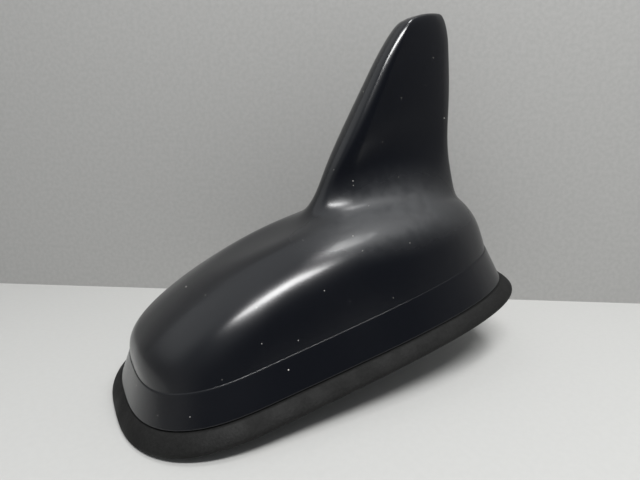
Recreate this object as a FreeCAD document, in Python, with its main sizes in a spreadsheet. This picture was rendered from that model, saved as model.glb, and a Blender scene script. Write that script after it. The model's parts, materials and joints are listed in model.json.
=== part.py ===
"""Car roof antenna: moulded shark-fin housing, rubber gasket, die-cast base and the aerials inside.

Millimetres. The origin is on the fixing stem's axis, in the roof plane under the gasket.
+X points to the rear of the car, +Y to its right side and +Z up.
"""
import FreeCAD, Part, Sketcher
import math
import os

SIZES = [
    ("nose_reach", 78.0, "stem axis to the gasket's front edge"),
    ("tail_reach", 42.0, "stem axis to the gasket's rear edge"),
    ("half_width", 31.5, "half of the gasket's greatest width"),
    ("widest_ahead", 47.3, "stem axis forward to the widest place"),
    ("nose_power", 2.74, "roundness of the outline's front half"),
    ("tail_power", 3.6, "roundness of the outline's rear half"),

    ("lip_height", 3.6, "top of the gasket's flared lip"),
    ("lip_edge", 0.8, "upright edge at the bottom of the lip"),
    ("lip_proud", 0.4, "lip's top edge outside the housing's foot"),
    ("web_thickness", 2.4, "gasket web between roof and base plate"),
    ("window_inset", 12.0, "gasket's outer edge to its window"),
    ("channel_inset", 3.0, "gasket's outer edge to its sealing channel"),
    ("channel_width", 5.5, "width of the sealing channel"),
    ("channel_depth", 0.8, "depth of the sealing channel"),
    ("rib_width", 1.0, "rib that carries the housing's foot"),

    ("seam_gap", 0.3, "dark gap between lip and housing"),
    ("seam_inset", 3.1, "gasket's outer edge to the housing's foot"),
    ("wall", 2.2, "housing wall"),
    ("ledge_height", 12.7, "ledge line above the roof at the stem"),
    ("ledge_rise", 0.035, "rise of the ledge line towards the rear"),
    ("ledge_inset", 6.6, "gasket's outer edge to the ledge line"),
    ("ledge_step", 0.5, "width of the ledge"),
    ("deck_height", 33.8, "highest place of the hump, without the fin"),
    ("deck_peak_ahead", 6.0, "stem axis forward to that place"),
    ("deck_span", 40.0, "distance from that place at which the deck's fall is given"),
    ("deck_fall", 5.92, "fall of the deck at that distance"),
    ("shoulder_power", 2.7, "roundness of the hump's shoulder"),
    ("flank_power", 3.0, "how low the flank's shoulder lies: its run follows this power of its climb"),
    ("nose_lean", 0.02, "share of the nose's run that is a straight lean"),
    ("foot_ahead", 26.0, "stem axis to the front of the fin's foot"),
    ("foot_behind", 34.0, "stem axis to the rear of the fin's foot"),
    ("foot_half_width", 10.0, "half width of the fin's foot on the deck"),
    ("foot_widest_ahead", 10.0, "stem axis to the foot's widest place"),
    ("foot_nose_power", 2.2, "roundness of the foot's front"),
    ("foot_tail_power", 2.3, "roundness of the foot's rear"),

    ("fin_datum", 40.0, "height at which the fin's edges are placed"),
    ("fin_ahead", 15.1, "stem axis to the leading edge at that height"),
    ("fin_behind", 32.4, "stem axis to the trailing edge at that height"),
    ("lead_lean", 0.771, "run of the leading edge for each unit of height"),
    ("trail_lean", 0.062, "run of the trailing edge for each unit of height"),
    ("blend_height", 10.0, "height of the blend between deck and fin"),
    ("fin_root_half", 5.6, "half thickness of the fin above the blend"),
    ("fin_tip_half", 3.6, "half thickness of the fin at its top"),
    ("fin_taper", 0.55, "share of the thickness lost towards the trailing edge"),
    ("fin_widest", 0.22, "share of the chord ahead of the thickest place"),
    ("fin_nose_power", 2.1, "roundness of the leading edge"),
    ("fin_tail_power", 5.0, "roundness of the trailing edge"),
    ("tip_height", 76.2, "top of the fin, taken back to the stem axis"),
    ("tip_rise", 0.21, "rise of the fin's top towards the rear"),
    ("tip_round", 6.0, "height of the rounding at the fin's top"),
    ("tip_nose_round", 8.0, "length of that rounding at the front"),
    ("tip_tail_round", 5.0, "length of that rounding at the rear"),

    ("tray_gap", 0.4, "tray to housing wall, all round"),
    ("seat_gap", 0.2, "tray to gasket, all round"),
    ("floor_thickness", 2.5, "tray floor"),
    ("tray_height", 6.0, "tray from its underside to its rim"),
    ("rim_thickness", 2.5, "tray rim"),
    ("stem_radius", 7.0, "fixing stem"),
    ("stem_length", 12.0, "fixing stem below the roof plane"),
    ("stem_chamfer", 0.8, "chamfer at the stem's end"),
    ("bore_radius", 4.2, "lead passage in the stem"),
    ("pad_radius", 14.0, "metal pad that meets the roof round the stem"),
    ("peg_ahead", 24.0, "stem axis to the locating peg"),
    ("peg_radius", 2.5, "locating peg"),
    ("peg_length", 3.5, "locating peg below the roof plane"),

    ("rim_seal_height", 1.4, "section of the rim seal"),
    ("rim_seal_depth", 1.0, "depth of its groove in the tray"),
    ("rim_seal_rise", 3.2, "groove above the tray's underside"),
    ("seal_gap", 0.05, "seals and grommet to what they seal"),
    ("stem_seal_radius", 10.5, "middle line of the stem seal"),
    ("stem_seal_section", 1.0, "half of the stem seal's square section, with its gap"),
    ("grommet_length", 7.0, "grommet in the stem"),
    ("lead_radius", 1.5, "lead holes in the grommet"),
    ("lead_offset", 2.1, "lead holes to the stem axis"),

    ("front_boss_setback", 17.5, "gasket's front edge back to the front screw bosses"),
    ("front_boss_share", 0.3, "front screw bosses off the middle plane, as a share of the half width"),
    ("rear_boss_setback", 21.0, "gasket's rear edge forward to the rear screw bosses"),
    ("rear_boss_share", 0.315, "rear screw bosses off the middle plane, as a share of the half width"),
    ("boss_radius", 3.4, "screw bosses in the housing"),
    ("pilot_depth", 9.0, "screw holes in the bosses"),
    ("screw_radius", 1.4, "shank of the cover screws"),
    ("screw_length", 10.0, "shank of the cover screws"),
    ("screw_head_radius", 2.7, "head of the cover screws"),
    ("screw_head_height", 1.7, "head of the cover screws"),
    ("hole_gap", 0.2, "free holes to the screws in them"),
    ("thread_gap", 0.05, "threaded holes to the screws in them"),

    ("board_rise", 4.6, "board above the tray's underside"),
    ("board_thickness", 1.6, "main board"),
    ("board_gap", 0.5, "board to the tray rim and the bosses"),
    ("front_post_ahead", 28.0, "stem axis to the front board posts"),
    ("rear_post_behind", 9.0, "stem axis to the rear board posts"),
    ("post_share", 0.47, "board posts off the middle plane, as a share of the half width"),
    ("post_radius", 2.6, "board posts on the tray"),
    ("board_screw_radius", 1.1, "shank of the board screws"),
    ("board_screw_length", 3.2, "shank of the board screws"),
    ("board_head_radius", 2.2, "head of the board screws"),
    ("board_head_height", 1.3, "head of the board screws"),
    ("lead_window", 5.0, "radius of the board's window over the stem"),
    ("spring_thickness", 0.3, "sheet of the ground springs"),
    ("spring_width", 3.0, "width of the ground springs"),
    ("spring_length", 8.0, "length of the ground springs"),
    ("spring_side", 13.0, "middle plane to the ground springs"),
    ("spring_ahead", 12.0, "stem axis to the ground springs"),

    ("patch_ahead", 44.0, "stem axis to the middle of the patch"),
    ("patch_side", 25.0, "side of the ceramic patch"),
    ("patch_thickness", 4.0, "ceramic patch"),
    ("pad_thickness", 0.5, "adhesive pad under the patch"),
    ("electrode_side", 20.0, "side of the patch's electrode"),
    ("electrode_thickness", 0.15, "patch's electrode"),
    ("feed_offset", 2.4, "feed pin off the middle of the patch"),
    ("feed_radius", 0.6, "feed pin"),
    ("feed_head_radius", 1.1, "head of the feed pin"),
    ("feed_head_height", 0.5, "head of the feed pin"),

    ("shield_ahead", 17.0, "stem axis to the middle of the shield"),
    ("shield_long", 19.0, "shield along the board"),
    ("shield_wide", 18.0, "shield across the board"),
    ("shield_tall", 3.4, "height of the shield"),
    ("shield_sheet", 0.3, "sheet of the shield"),
    ("chip_side", 4.0, "amplifier chips"),
    ("chip_height", 1.1, "amplifier chips"),
    ("chip_pitch", 7.0, "amplifier chips apart"),
    ("filter_long", 6.0, "filter blocks"),
    ("filter_wide", 3.5, "filter blocks"),
    ("filter_tall", 2.0, "filter blocks"),
    ("filter_behind", 13.0, "stem axis to the filter blocks"),
    ("filter_side", 6.0, "middle plane to the filter blocks"),
    ("terminal_behind", 2.0, "stem axis to the lead terminals"),
    ("terminal_side", 8.0, "middle plane to the lead terminals"),
    ("terminal_radius", 1.8, "lead terminals"),
    ("terminal_height", 2.6, "lead terminals"),

    ("blade_thickness", 0.8, "fin board"),
    ("blade_front", 5.0, "stem axis back to the fin board's lower front"),
    ("blade_back", 26.0, "stem axis back to the fin board's rear edge"),
    ("blade_top", 68.0, "top of the fin board above the roof"),
    ("blade_gap", 3.4, "fin board to the leading edge's inner wall"),
    ("tab_width", 4.0, "fin board's tabs through the main board"),
    ("tab_inset", 2.0, "fin board's lower corners to its tabs"),
    ("tab_proud", 0.4, "tabs below the main board"),
    ("slot_gap", 0.1, "tab slots to the tabs, all round"),
    ("foil_thickness", 0.12, "radiator on the fin board"),
    ("foil_margin", 2.0, "fin board's edge to the radiator"),
    ("foil_strip", 3.0, "width of the radiator's strips"),
    ("bracket_sheet", 0.5, "sheet of the fin board's brackets"),
    ("bracket_leg", 3.0, "legs of the fin board's brackets"),
    ("bracket_width", 5.0, "width of the fin board's brackets"),
]

RING_POINTS = 32
SHOULDER_ANGLES = (0, 18, 38, 58, 76, 90)
BLEND_ANGLES = (30, 60, 90)
FIN_STEPS = (0.5, 1.0)
TIP_ANGLES = (32, 62)
TIP_FLAT = 0.03
TIP_BLUNTNESS = 0.6

doc = FreeCAD.newDocument("roof_antenna")
sheet = doc.addObject("Spreadsheet::Sheet", "dim")
for row, (alias, value, note) in enumerate(SIZES, start=1):
    sheet.set(f"A{row}", note)
    sheet.set(f"B{row}", str(value))
    sheet.setAlias(f"B{row}", alias)
doc.recompute()


def size(expression):
    """Number that an expression of the sheet's aliases gives."""
    return float(sheet.evalExpression(expression))


def bound(expression):
    """The same expression as other objects write it, with the sheet's name before each alias."""
    words = {alias for alias, _, _ in SIZES}
    tokens = expression.replace("(", " ( ").replace(")", " ) ").split()
    return " ".join(f"dim.{token}" if token in words else token for token in tokens)


def bind(item, **properties):
    """Bind properties of an object to the sheet; x, y and z are its place."""
    for name, expression in properties.items():
        place = f"Placement.Base.{name}" if name in ("x", "y", "z") else name
        item.setExpression(place, bound(expression))
    return item


def box(name, length, width, height, x="0", y="0", z="0"):
    """Box whose middle is at x, y and whose underside is at z."""
    item = doc.addObject("Part::Box", name)
    return bind(item, Length=length, Width=width, Height=height,
                x=f"{x} - ( {length} ) / 2", y=f"{y} - ( {width} ) / 2", z=z)


def cylinder(name, radius, height, x="0", y="0", z="0"):
    item = doc.addObject("Part::Cylinder", name)
    return bind(item, Radius=radius, Height=height, x=x, y=y, z=z)


def fuse(name, *shapes):
    item = doc.addObject("Part::MultiFuse", name)
    item.Shapes = shapes
    item.Refine = True
    return item


def cut(name, base, *tools):
    tool = tools[0] if len(tools) == 1 else fuse(f"{name}_tools", *tools)
    item = doc.addObject("Part::Cut", name)
    item.Base = base
    item.Tool = tool
    return item


def group(name, *solids):
    item = doc.addObject("Part::Compound", name)
    item.Links = solids
    return item


def loft(name, wires):
    item = doc.addObject("Part::Loft", name)
    item.Sections = wires
    item.Solid = True
    item.Ruled = True
    return item


def mix(start, end, share):
    return start + (end - start) * share


class Ring:
    """Closed curve round the antenna: two half superellipses on a level that may rise and bow."""

    def __init__(self, nose, tail, half, widest, nose_power, tail_power, taper, level):
        self.values = (nose, tail, half, widest, nose_power, tail_power, taper, *level)

    def mixed(self, other, nose_share, plan_share, level_share):
        """Ring between this one and another, with shares of its own for nose, plan and level."""
        shares = (nose_share, *[plan_share] * 6, *[level_share] * 3)
        values = [mix(a, b, share) for a, b, share in zip(self.values, other.values, shares)]
        return Ring(*values[:7], values[7:])

    def point(self, angle):
        nose, tail, half, widest, nose_power, tail_power, taper, height, rise, bow = self.values
        ahead = math.cos(angle) < 0
        reach, power = (nose - widest, nose_power) if ahead else (tail - widest, tail_power)
        across = abs(math.cos(angle))
        aside = abs(math.sin(angle))
        radius = (across ** power + aside ** power) ** (-1 / power)
        side = half * radius * aside
        if not ahead:
            side *= 1 - taper * radius * across
        x = widest + reach * radius * across
        return FreeCAD.Vector(x, math.copysign(side, math.sin(angle)), height + rise * x + bow * x * x)

    def curve(self):
        """The ring as a closed spline with the same knots as every other ring."""
        shares = [k / RING_POINTS for k in range(RING_POINTS + 1)]
        points = [self.point(2 * math.pi * share) for share in shares[:-1]]
        spline = Part.BSplineCurve()
        spline.interpolate(Points=points, Parameters=shares, PeriodicFlag=True)
        return spline

    def wire(self, name):
        item = doc.addObject("Part::Feature", name)
        item.Shape = Part.Wire(self.curve().toShape())
        return item


def skin(name, rings):
    """Solid with one smooth face through a stack of rings and a flat cap at each end."""
    curves = [ring.curve() for ring in rings]
    columns = list(zip(*[curve.getPoles() for curve in curves]))
    heights = [0.0]
    for below, above in zip(curves, curves[1:]):
        steps = [a.distanceToPoint(b) for a, b in zip(below.getPoles(), above.getPoles())]
        heights.append(heights[-1] + sum(steps) / len(steps))
    risers = []
    for column in columns:
        riser = Part.BSplineCurve()
        riser.interpolate(Points=list(column), Parameters=heights)
        risers.append(riser)
    surface = Part.BSplineSurface()
    surface.buildFromPolesMultsKnots(
        [riser.getPoles() for riser in risers], curves[0].getMultiplicities(), risers[0].getMultiplicities(),
        curves[0].getKnots(), risers[0].getKnots(), True, False, curves[0].Degree, risers[0].Degree)
    caps = [Part.Face(Part.Wire(curve.toShape())) for curve in (curves[0], curves[-1])]
    shell = Part.makeShell([surface.toShape(), *caps])
    shell.sewShape()
    item = doc.addObject("Part::Feature", name)
    item.Shape = Part.makeSolid(shell)
    return item


def outline(inset, level):
    """The gasket's outline, set inwards, on a level (height, rise, bow)."""
    return Ring(inset - size("nose_reach"), size("tail_reach") - inset, size("half_width") - inset,
                -size("widest_ahead"), size("nose_power"), size("tail_power"), 0, level)


def outline_loft(name, *stops):
    """Ruled solid through level outlines, each given as (height, inset)."""
    rings = [outline(inset, (height, 0, 0)).wire(f"{name}_ring_{k}")
             for k, (height, inset) in enumerate(stops)]
    return loft(name, rings)


def edge_at(x_datum, lean, level):
    """Where a leaning edge of the fin, placed at the fin's datum height, meets a level."""
    height, rise, bow = level
    x = x_datum
    for _ in range(20):
        x = x_datum + lean * (height + rise * x + bow * x * x - size("fin_datum"))
    return x


def body_rings(start, inset):
    """Rings from a start outline over the shoulder and the deck and up the fin, all set inwards."""
    peak = -size("deck_peak_ahead")
    bow = size("deck_fall / deck_span ^ 2")
    deck = (size("deck_height") - inset - bow * peak ** 2, 2 * bow * peak, -bow)
    tip = (size("tip_height") - inset, size("tip_rise"), 0)
    foot = Ring(inset - size("foot_ahead"), size("foot_behind") - inset, size("foot_half_width") - inset,
                -size("foot_widest_ahead"), size("foot_nose_power"), size("foot_tail_power"), 0, deck)

    def fin(share, shrink=0.0):
        """Fin section at a share of the way from deck to tip, drawn in by the tip's rounding."""
        level = [mix(a, b, share) for a, b in zip(deck, tip)]
        nose = edge_at(inset - size("fin_ahead"), size("lead_lean"), level) + size("tip_nose_round") * shrink
        tail = edge_at(size("fin_behind") - inset, size("trail_lean"), level)
        tail -= size("tip_tail_round") * shrink
        half = mix(size("fin_root_half"), size("fin_tip_half"), share) - inset
        half *= max(1 - shrink, TIP_FLAT) ** TIP_BLUNTNESS
        return Ring(nose, tail, half, mix(nose, tail, size("fin_widest")),
                    size("fin_nose_power"), size("fin_tail_power"), size("fin_taper"), level)

    power = 2 / size("shoulder_power")
    rings = []
    for angle in map(math.radians, SHOULDER_ANGLES):
        bulge = 1 - max(math.cos(angle), 0) ** power
        climb = math.sin(angle) ** power
        nose_share = mix(bulge, climb, size("nose_lean"))
        rings.append(start.mixed(foot, nose_share, climb ** size("flank_power"), climb))
    rise = tip[0] - deck[0]
    root_share = size("blend_height") / rise
    root = fin(root_share)
    lead_share = size("lead_lean * blend_height") / (root.values[0] - foot.values[0])
    for angle in map(math.radians, BLEND_ANGLES):
        climb = 1 - math.cos(angle)
        rings.append(foot.mixed(root, mix(math.sin(angle), climb, lead_share), math.sin(angle), climb))
    round_share = 1 - size("tip_round") / rise
    for step in FIN_STEPS:
        rings.append(fin(mix(root_share, round_share, step)))
    for angle in map(math.radians, TIP_ANGLES):
        rings.append(fin(mix(round_share, 1, math.sin(angle)), 1 - math.cos(angle)))
    rings.append(fin(1, 1))
    return rings


# Heights and places that several pieces share, as expressions of the sheet
FOOT = "lip_height + seam_gap"
FLOOR_TOP = "web_thickness + floor_thickness"
RIM_TOP = "web_thickness + tray_height"
BOARD_UNDER = "web_thickness + board_rise"
BOARD_TOP = f"{BOARD_UNDER} + board_thickness"
FRONT_BOSS_X = "front_boss_setback - nose_reach"
REAR_BOSS_X = "tail_reach - rear_boss_setback"
BOSSES = [("front_left", FRONT_BOSS_X, "0 - front_boss_share * half_width"),
          ("front_right", FRONT_BOSS_X, "front_boss_share * half_width"),
          ("rear_left", REAR_BOSS_X, "0 - rear_boss_share * half_width"),
          ("rear_right", REAR_BOSS_X, "rear_boss_share * half_width")]
POSTS = [("front_left", "0 - front_post_ahead", "0 - post_share * half_width"),
         ("front_right", "0 - front_post_ahead", "post_share * half_width"),
         ("rear_left", "rear_post_behind", "0 - post_share * half_width"),
         ("rear_right", "rear_post_behind", "post_share * half_width")]
SIDES = [("left", "0 - "), ("right", "")]

# The skirt's draft where it is steepest to the level, at the nose
nose_ledge = size("ledge_height - ledge_rise * nose_reach")
draft = size("ledge_inset - seam_inset") / (nose_ledge - size(FOOT))


def skirt_inset(height):
    """Inset of the housing's inner wall at a height near its foot."""
    return size("seam_inset + wall") + draft * (height - size(FOOT))


def tray_inset(height):
    return skirt_inset(height) + size("tray_gap")


def make_housing():
    """Moulded shell: skirt band, ledge, hump and fin, hollow, with four screw bosses."""
    ledge_level = (size("ledge_height"), size("ledge_rise"), 0)
    half_step = size("ledge_step / 2")
    skirt = loft("skirt", [outline(size("seam_inset"), (size(FOOT), 0, 0)).wire("skirt_foot"),
                           outline(size("ledge_inset") - half_step, ledge_level).wire("skirt_ledge")])
    body = skin("upper_body", body_rings(outline(size("ledge_inset") + half_step, ledge_level), 0.0))
    outer = fuse("housing_outer", skirt, body)

    neck = size(RIM_TOP) + size("tray_gap")
    below = size("web_thickness")
    skirt_hollow = outline_loft("skirt_hollow", (below, skirt_inset(below)), (neck, skirt_inset(neck)))
    start = outline(skirt_inset(neck), (neck, 0, 0))
    hollow = fuse("housing_hollow", skirt_hollow, skin("body_hollow", body_rings(start, size("wall"))))

    columns = []
    pilots = []
    for name, x, y in BOSSES:
        columns.append(cylinder(f"boss_{name}", "boss_radius", f"deck_height - ( {FLOOR_TOP} )",
                                x, y, FLOOR_TOP))
        pilots.append(cylinder(f"pilot_{name}", "screw_radius + thread_gap", "pilot_depth", x, y, FLOOR_TOP))
    shell = cut("housing_shell", outer, cut("hollow_round_bosses", hollow, *columns))
    return cut("housing", shell, *pilots)


def make_gasket():
    """Rubber seal: flared lip, web under the tray with a window, sealing channel and a seating rib."""
    lip_inset = size("seam_inset - lip_proud")
    lip_top = size("lip_height")
    web = size("web_thickness")
    flare = outline_loft("lip_flare", (0, 0), (size("lip_edge"), 0), (lip_top, lip_inset))
    seat_inset = tray_inset(web) - size("seat_gap")
    rib_outer = outline_loft("rib_outer", (web, seat_inset - size("rib_width")),
                             (size(FOOT), seat_inset - size("rib_width")))
    seat = outline_loft("tray_seat", (web, seat_inset), (size(FOOT), seat_inset))
    window_inset = size("window_inset")
    window = outline_loft("gasket_window", (0, window_inset), (web, window_inset))
    channel_inset = size("channel_inset")
    channel_end = channel_inset + size("channel_width")
    channel_depth = size("channel_depth")
    channel = cut("channel",
                  outline_loft("channel_outer", (0, channel_inset), (channel_depth, channel_inset)),
                  outline_loft("channel_inner", (0, channel_end), (channel_depth, channel_end)))
    return cut("base_gasket", fuse("gasket_block", flare, rib_outer), seat, window, channel)


def make_base_plate():
    """Die-cast tray with board posts, fixing stem, roof pad and locating peg."""
    under = size("web_thickness")
    rim = size(RIM_TOP)
    block = outline_loft("tray_block", (under, tray_inset(under)), (rim, tray_inset(rim)))
    floor = size(FLOOR_TOP)
    rim_thickness = size("rim_thickness")
    pocket = outline_loft("tray_pocket", (floor, tray_inset(floor) + rim_thickness),
                          (rim, tray_inset(rim) + rim_thickness))
    low = under + size("rim_seal_rise")
    high = low + size("rim_seal_height")
    depth = size("rim_seal_depth")
    low_inset = tray_inset(low)
    high_inset = tray_inset(high)
    groove = cut("seal_groove",
                 outline_loft("groove_outer", (low, low_inset - depth), (high, high_inset - depth)),
                 outline_loft("groove_inner", (low, low_inset + depth), (high, high_inset + depth)))
    tray = cut("tray", block, pocket, groove)

    roof_pad = cylinder("roof_pad", "pad_radius", "web_thickness")
    stem = cylinder("stem_rod", "stem_radius", "stem_length - stem_chamfer", z="stem_chamfer - stem_length")
    stem_end = doc.addObject("Part::Cone", "stem_end")
    bind(stem_end, Radius1="stem_radius - stem_chamfer", Radius2="stem_radius", Height="stem_chamfer",
         z="0 - stem_length")
    peg = cylinder("peg", "peg_radius", "peg_length + web_thickness", "0 - peg_ahead", z="0 - peg_length")
    posts = [cylinder(f"post_{name}", "post_radius", "board_rise - floor_thickness", x, y, FLOOR_TOP)
             for name, x, y in POSTS]
    solid = fuse("base_solid", tray, roof_pad, stem, stem_end, peg, *posts)

    bore = cylinder("stem_bore", "bore_radius", f"stem_length + {FLOOR_TOP}", z="0 - stem_length")
    seal_height = "2 * stem_seal_section"
    stem_groove = cut(
        "stem_groove",
        cylinder("stem_groove_outer", "stem_seal_radius + stem_seal_section", seal_height),
        cylinder("stem_groove_inner", "stem_seal_radius - stem_seal_section", seal_height))
    screw_holes = [cylinder(f"screw_hole_{name}", "screw_radius + hole_gap", "floor_thickness",
                            x, y, "web_thickness") for name, x, y in BOSSES]
    post_holes = [cylinder(f"post_hole_{name}", "board_screw_radius + thread_gap",
                           "board_rise - floor_thickness", x, y, FLOOR_TOP) for name, x, y in POSTS]
    return cut("base_plate", solid, bore, stem_groove, *screw_holes, *post_holes)


def make_seals():
    """Cord in the tray's groove, ring in the roof pad and plug in the stem."""
    low = size("web_thickness + rim_seal_rise")
    high = low + size("rim_seal_height")
    gap = size("seal_gap")
    depth = size("rim_seal_depth")
    outer = outline_loft("rim_seal_outer", (low, skirt_inset(low) + gap), (high, skirt_inset(high) + gap))
    inner = outline_loft("rim_seal_inner", (low, tray_inset(low) + depth), (high, tray_inset(high) + depth))
    rim_seal = cut("rim_seal", outer, inner)

    half = "stem_seal_section - seal_gap"
    height = f"2 * ( {half} )"
    ring = cylinder("stem_seal_outer", f"stem_seal_radius + {half}", height, z="seal_gap")
    core = cylinder("stem_seal_inner", f"stem_seal_radius - ( {half} )", height, z="seal_gap")
    stem_seal = cut("stem_seal", ring, core)

    plug = cylinder("grommet_plug", "bore_radius - seal_gap", "grommet_length", z="0 - stem_length")
    holes = [cylinder(f"lead_hole_{side}", "lead_radius", "grommet_length", y=f"{sign}lead_offset",
                      z="0 - stem_length") for side, sign in SIDES]
    return [rim_seal, stem_seal, cut("cable_grommet", plug, *holes)]


def make_screws():
    """Cover screws from below into the housing and board screws from above into the posts."""
    cover = []
    for name, x, y in BOSSES:
        head = cylinder(f"cover_head_{name}", "screw_head_radius", "screw_head_height", x, y,
                        "web_thickness - screw_head_height")
        shank = cylinder(f"cover_shank_{name}", "screw_radius", "screw_length", x, y, "web_thickness")
        cover.append(fuse(f"cover_screw_{name}", head, shank))
    board = []
    for name, x, y in POSTS:
        head = cylinder(f"board_head_{name}", "board_head_radius", "board_head_height", x, y, BOARD_TOP)
        shank = cylinder(f"board_shank_{name}", "board_screw_radius", "board_screw_length", x, y,
                         f"{BOARD_TOP} - board_screw_length")
        board.append(fuse(f"board_screw_{name}", head, shank))
    return [group("cover_screws", *cover), group("board_screws", *board)]


# Lower edge of the fin board's tabs, front tab first
TABS = [("front", "blade_front + tab_inset + tab_width / 2"),
        ("rear", "blade_back - tab_inset - tab_width / 2")]


def make_main_board():
    """Board in the tray, cut away for the bosses, the screws, the leads and the fin board's tabs."""
    under = size(BOARD_UNDER)
    top = size(BOARD_TOP)
    inset = tray_inset(top) + size("rim_thickness + board_gap")
    blank = outline_loft("board_blank", (under, inset), (top, inset))
    holes = [cylinder("board_lead_window", "lead_window", "board_thickness", z=BOARD_UNDER)]
    for name, x, y in BOSSES:
        holes.append(cylinder(f"board_boss_hole_{name}", "boss_radius + board_gap", "board_thickness",
                              x, y, BOARD_UNDER))
    for name, x, y in POSTS:
        holes.append(cylinder(f"board_screw_hole_{name}", "board_screw_radius + hole_gap", "board_thickness",
                              x, y, BOARD_UNDER))
    for name, x in TABS:
        holes.append(box(f"tab_slot_{name}", "tab_width + 2 * slot_gap", "blade_thickness + 2 * slot_gap",
                         "board_thickness", x, z=BOARD_UNDER))
    holes.append(cylinder("board_feed_hole", "feed_radius + hole_gap", "board_thickness",
                          "feed_offset - patch_ahead", z=BOARD_UNDER))
    return cut("main_board", blank, *holes)


def sketch_on(body, name, role):
    """Empty sketch on one of a body's own origin planes."""
    sketch = body.newObject("Sketcher::SketchObject", name)
    plane = [feature for feature in body.Origin.OriginFeatures if feature.Role == role][0]
    sketch.AttachmentSupport = [(plane, "")]
    sketch.MapMode = "FlatFace"
    return sketch


def draw_polygon(sketch, corners):
    """Closed polygon whose corners are bound to expressions of the sheet."""
    points = [FreeCAD.Vector(size(across), size(up), 0) for across, up in corners]
    lines = [sketch.addGeometry(Part.LineSegment(points[k], points[(k + 1) % len(points)]))
             for k in range(len(points))]
    for k, line in enumerate(lines):
        sketch.addConstraint(Sketcher.Constraint("Coincident", line, 2, lines[(k + 1) % len(lines)], 1))
    for line, (across, up) in zip(lines, corners):
        for kind, expression in (("DistanceX", across), ("DistanceY", up)):
            index = sketch.addConstraint(Sketcher.Constraint(kind, -1, 1, line, 1, size(expression)))
            sketch.setExpression(f"Constraints[{index}]", bound(expression))


def plate(name, corners, thickness, y="0", midplane=False):
    """Flat piece that stands along the car: a polygon in X and Z, padded across."""
    body = doc.addObject("PartDesign::Body", name)
    sketch = sketch_on(body, f"{name}_sketch", "XZ_Plane")
    draw_polygon(sketch, corners)
    pad = body.newObject("PartDesign::Pad", f"{name}_pad")
    pad.Profile = sketch
    pad.Midplane = midplane
    pad.setExpression("Length", bound(thickness))
    return bind(body, y=y)


def make_ground_springs():
    """Bent sheet springs that press from the tray's floor against the board's underside."""
    back = "0 - spring_ahead"
    front = "0 - spring_ahead - spring_length"
    middle = "0 - spring_ahead - spring_length / 2"
    corners = [(front, FLOOR_TOP), (middle, FLOOR_TOP),
               (f"{back} - spring_thickness", f"{BOARD_UNDER} - spring_thickness"),
               (back, f"{BOARD_UNDER} - spring_thickness"), (back, BOARD_UNDER),
               (f"{back} - 2 * spring_thickness", BOARD_UNDER),
               (f"{middle} - spring_thickness", f"{FLOOR_TOP} + spring_thickness"),
               (front, f"{FLOOR_TOP} + spring_thickness")]
    springs = [plate(f"ground_spring_{side}", corners, "spring_width", f"{sign}spring_side", True)
               for side, sign in SIDES]
    return group("ground_springs", *springs)


def make_patch():
    """Ceramic patch on its adhesive pad, with electrode and feed pin."""
    x = "0 - patch_ahead"
    feed_x = "feed_offset - patch_ahead"
    ceramic_under = f"{BOARD_TOP} + pad_thickness"
    ceramic_top = f"{ceramic_under} + patch_thickness"
    pin_top = f"{ceramic_top} + electrode_thickness"

    def drilled(name, side, thickness, z):
        blank = box(f"{name}_blank", side, side, thickness, x, z=z)
        return cut(name, blank, cylinder(f"{name}_hole", "feed_radius + hole_gap", thickness, feed_x, z=z))

    pad = drilled("patch_pad", "patch_side", "pad_thickness", BOARD_TOP)
    ceramic = drilled("patch_ceramic", "patch_side", "patch_thickness", ceramic_under)
    electrode = drilled("patch_electrode", "electrode_side", "electrode_thickness", ceramic_top)
    shank = cylinder("feed_shank", "feed_radius", f"{pin_top} - ( {BOARD_UNDER} )", feed_x, z=BOARD_UNDER)
    head = cylinder("feed_head", "feed_head_radius", "feed_head_height", feed_x, z=pin_top)
    return [pad, ceramic, electrode, fuse("patch_feed_pin", shank, head)]


def make_shield():
    """Amplifier chips under a sheet-metal frame with a lid."""
    x = "0 - shield_ahead"
    tall = "shield_tall - shield_sheet"
    fence = cut("shield_frame", box("fence_outer", "shield_long", "shield_wide", tall, x, z=BOARD_TOP),
                box("fence_inner", "shield_long - 2 * shield_sheet", "shield_wide - 2 * shield_sheet",
                    tall, x, z=BOARD_TOP))
    lid_gap = "2 * seal_gap"
    lid_grip = "shield_tall / 2"
    lid = cut("shield_lid", box("lid_outer", f"shield_long + {lid_gap} + 2 * shield_sheet",
                                f"shield_wide + {lid_gap} + 2 * shield_sheet", lid_grip, x,
                                z=f"{BOARD_TOP} + shield_tall - {lid_grip}"),
              box("lid_inner", f"shield_long + {lid_gap}", f"shield_wide + {lid_gap}",
                  f"{lid_grip} - shield_sheet", x, z=f"{BOARD_TOP} + shield_tall - {lid_grip}"))
    chips = [box(f"chip_{side}", "chip_side", "chip_side", "chip_height", x, f"{sign}chip_pitch / 2",
                 BOARD_TOP) for side, sign in SIDES]
    return [fence, lid, group("amplifier_chips", *chips)]


def make_board_parts():
    """Filters and the terminals to which the leads are soldered."""
    filters = [box(f"filter_{side}", "filter_long", "filter_wide", "filter_tall", "filter_behind",
                   f"{sign}filter_side", BOARD_TOP) for side, sign in SIDES]
    terminals = []
    for side, sign in SIDES:
        place = ("terminal_behind", f"{sign}terminal_side")
        post = cylinder(f"terminal_post_{side}", "terminal_radius", "terminal_height", *place, BOARD_TOP)
        cup = cylinder(f"terminal_cup_{side}", "terminal_radius / 2", "terminal_height / 2", *place,
                       f"{BOARD_TOP} + terminal_height / 2")
        terminals.append(cut(f"terminal_{side}", post, cup))
    return [group("filter_blocks", *filters), group("lead_terminals", *terminals)]


def lead_wall_x(height):
    """Inner wall of the fin's leading edge at a height, with the fin board's gap, as an expression."""
    return f"wall + blade_gap - fin_ahead + lead_lean * ( {height} - fin_datum )"


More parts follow.
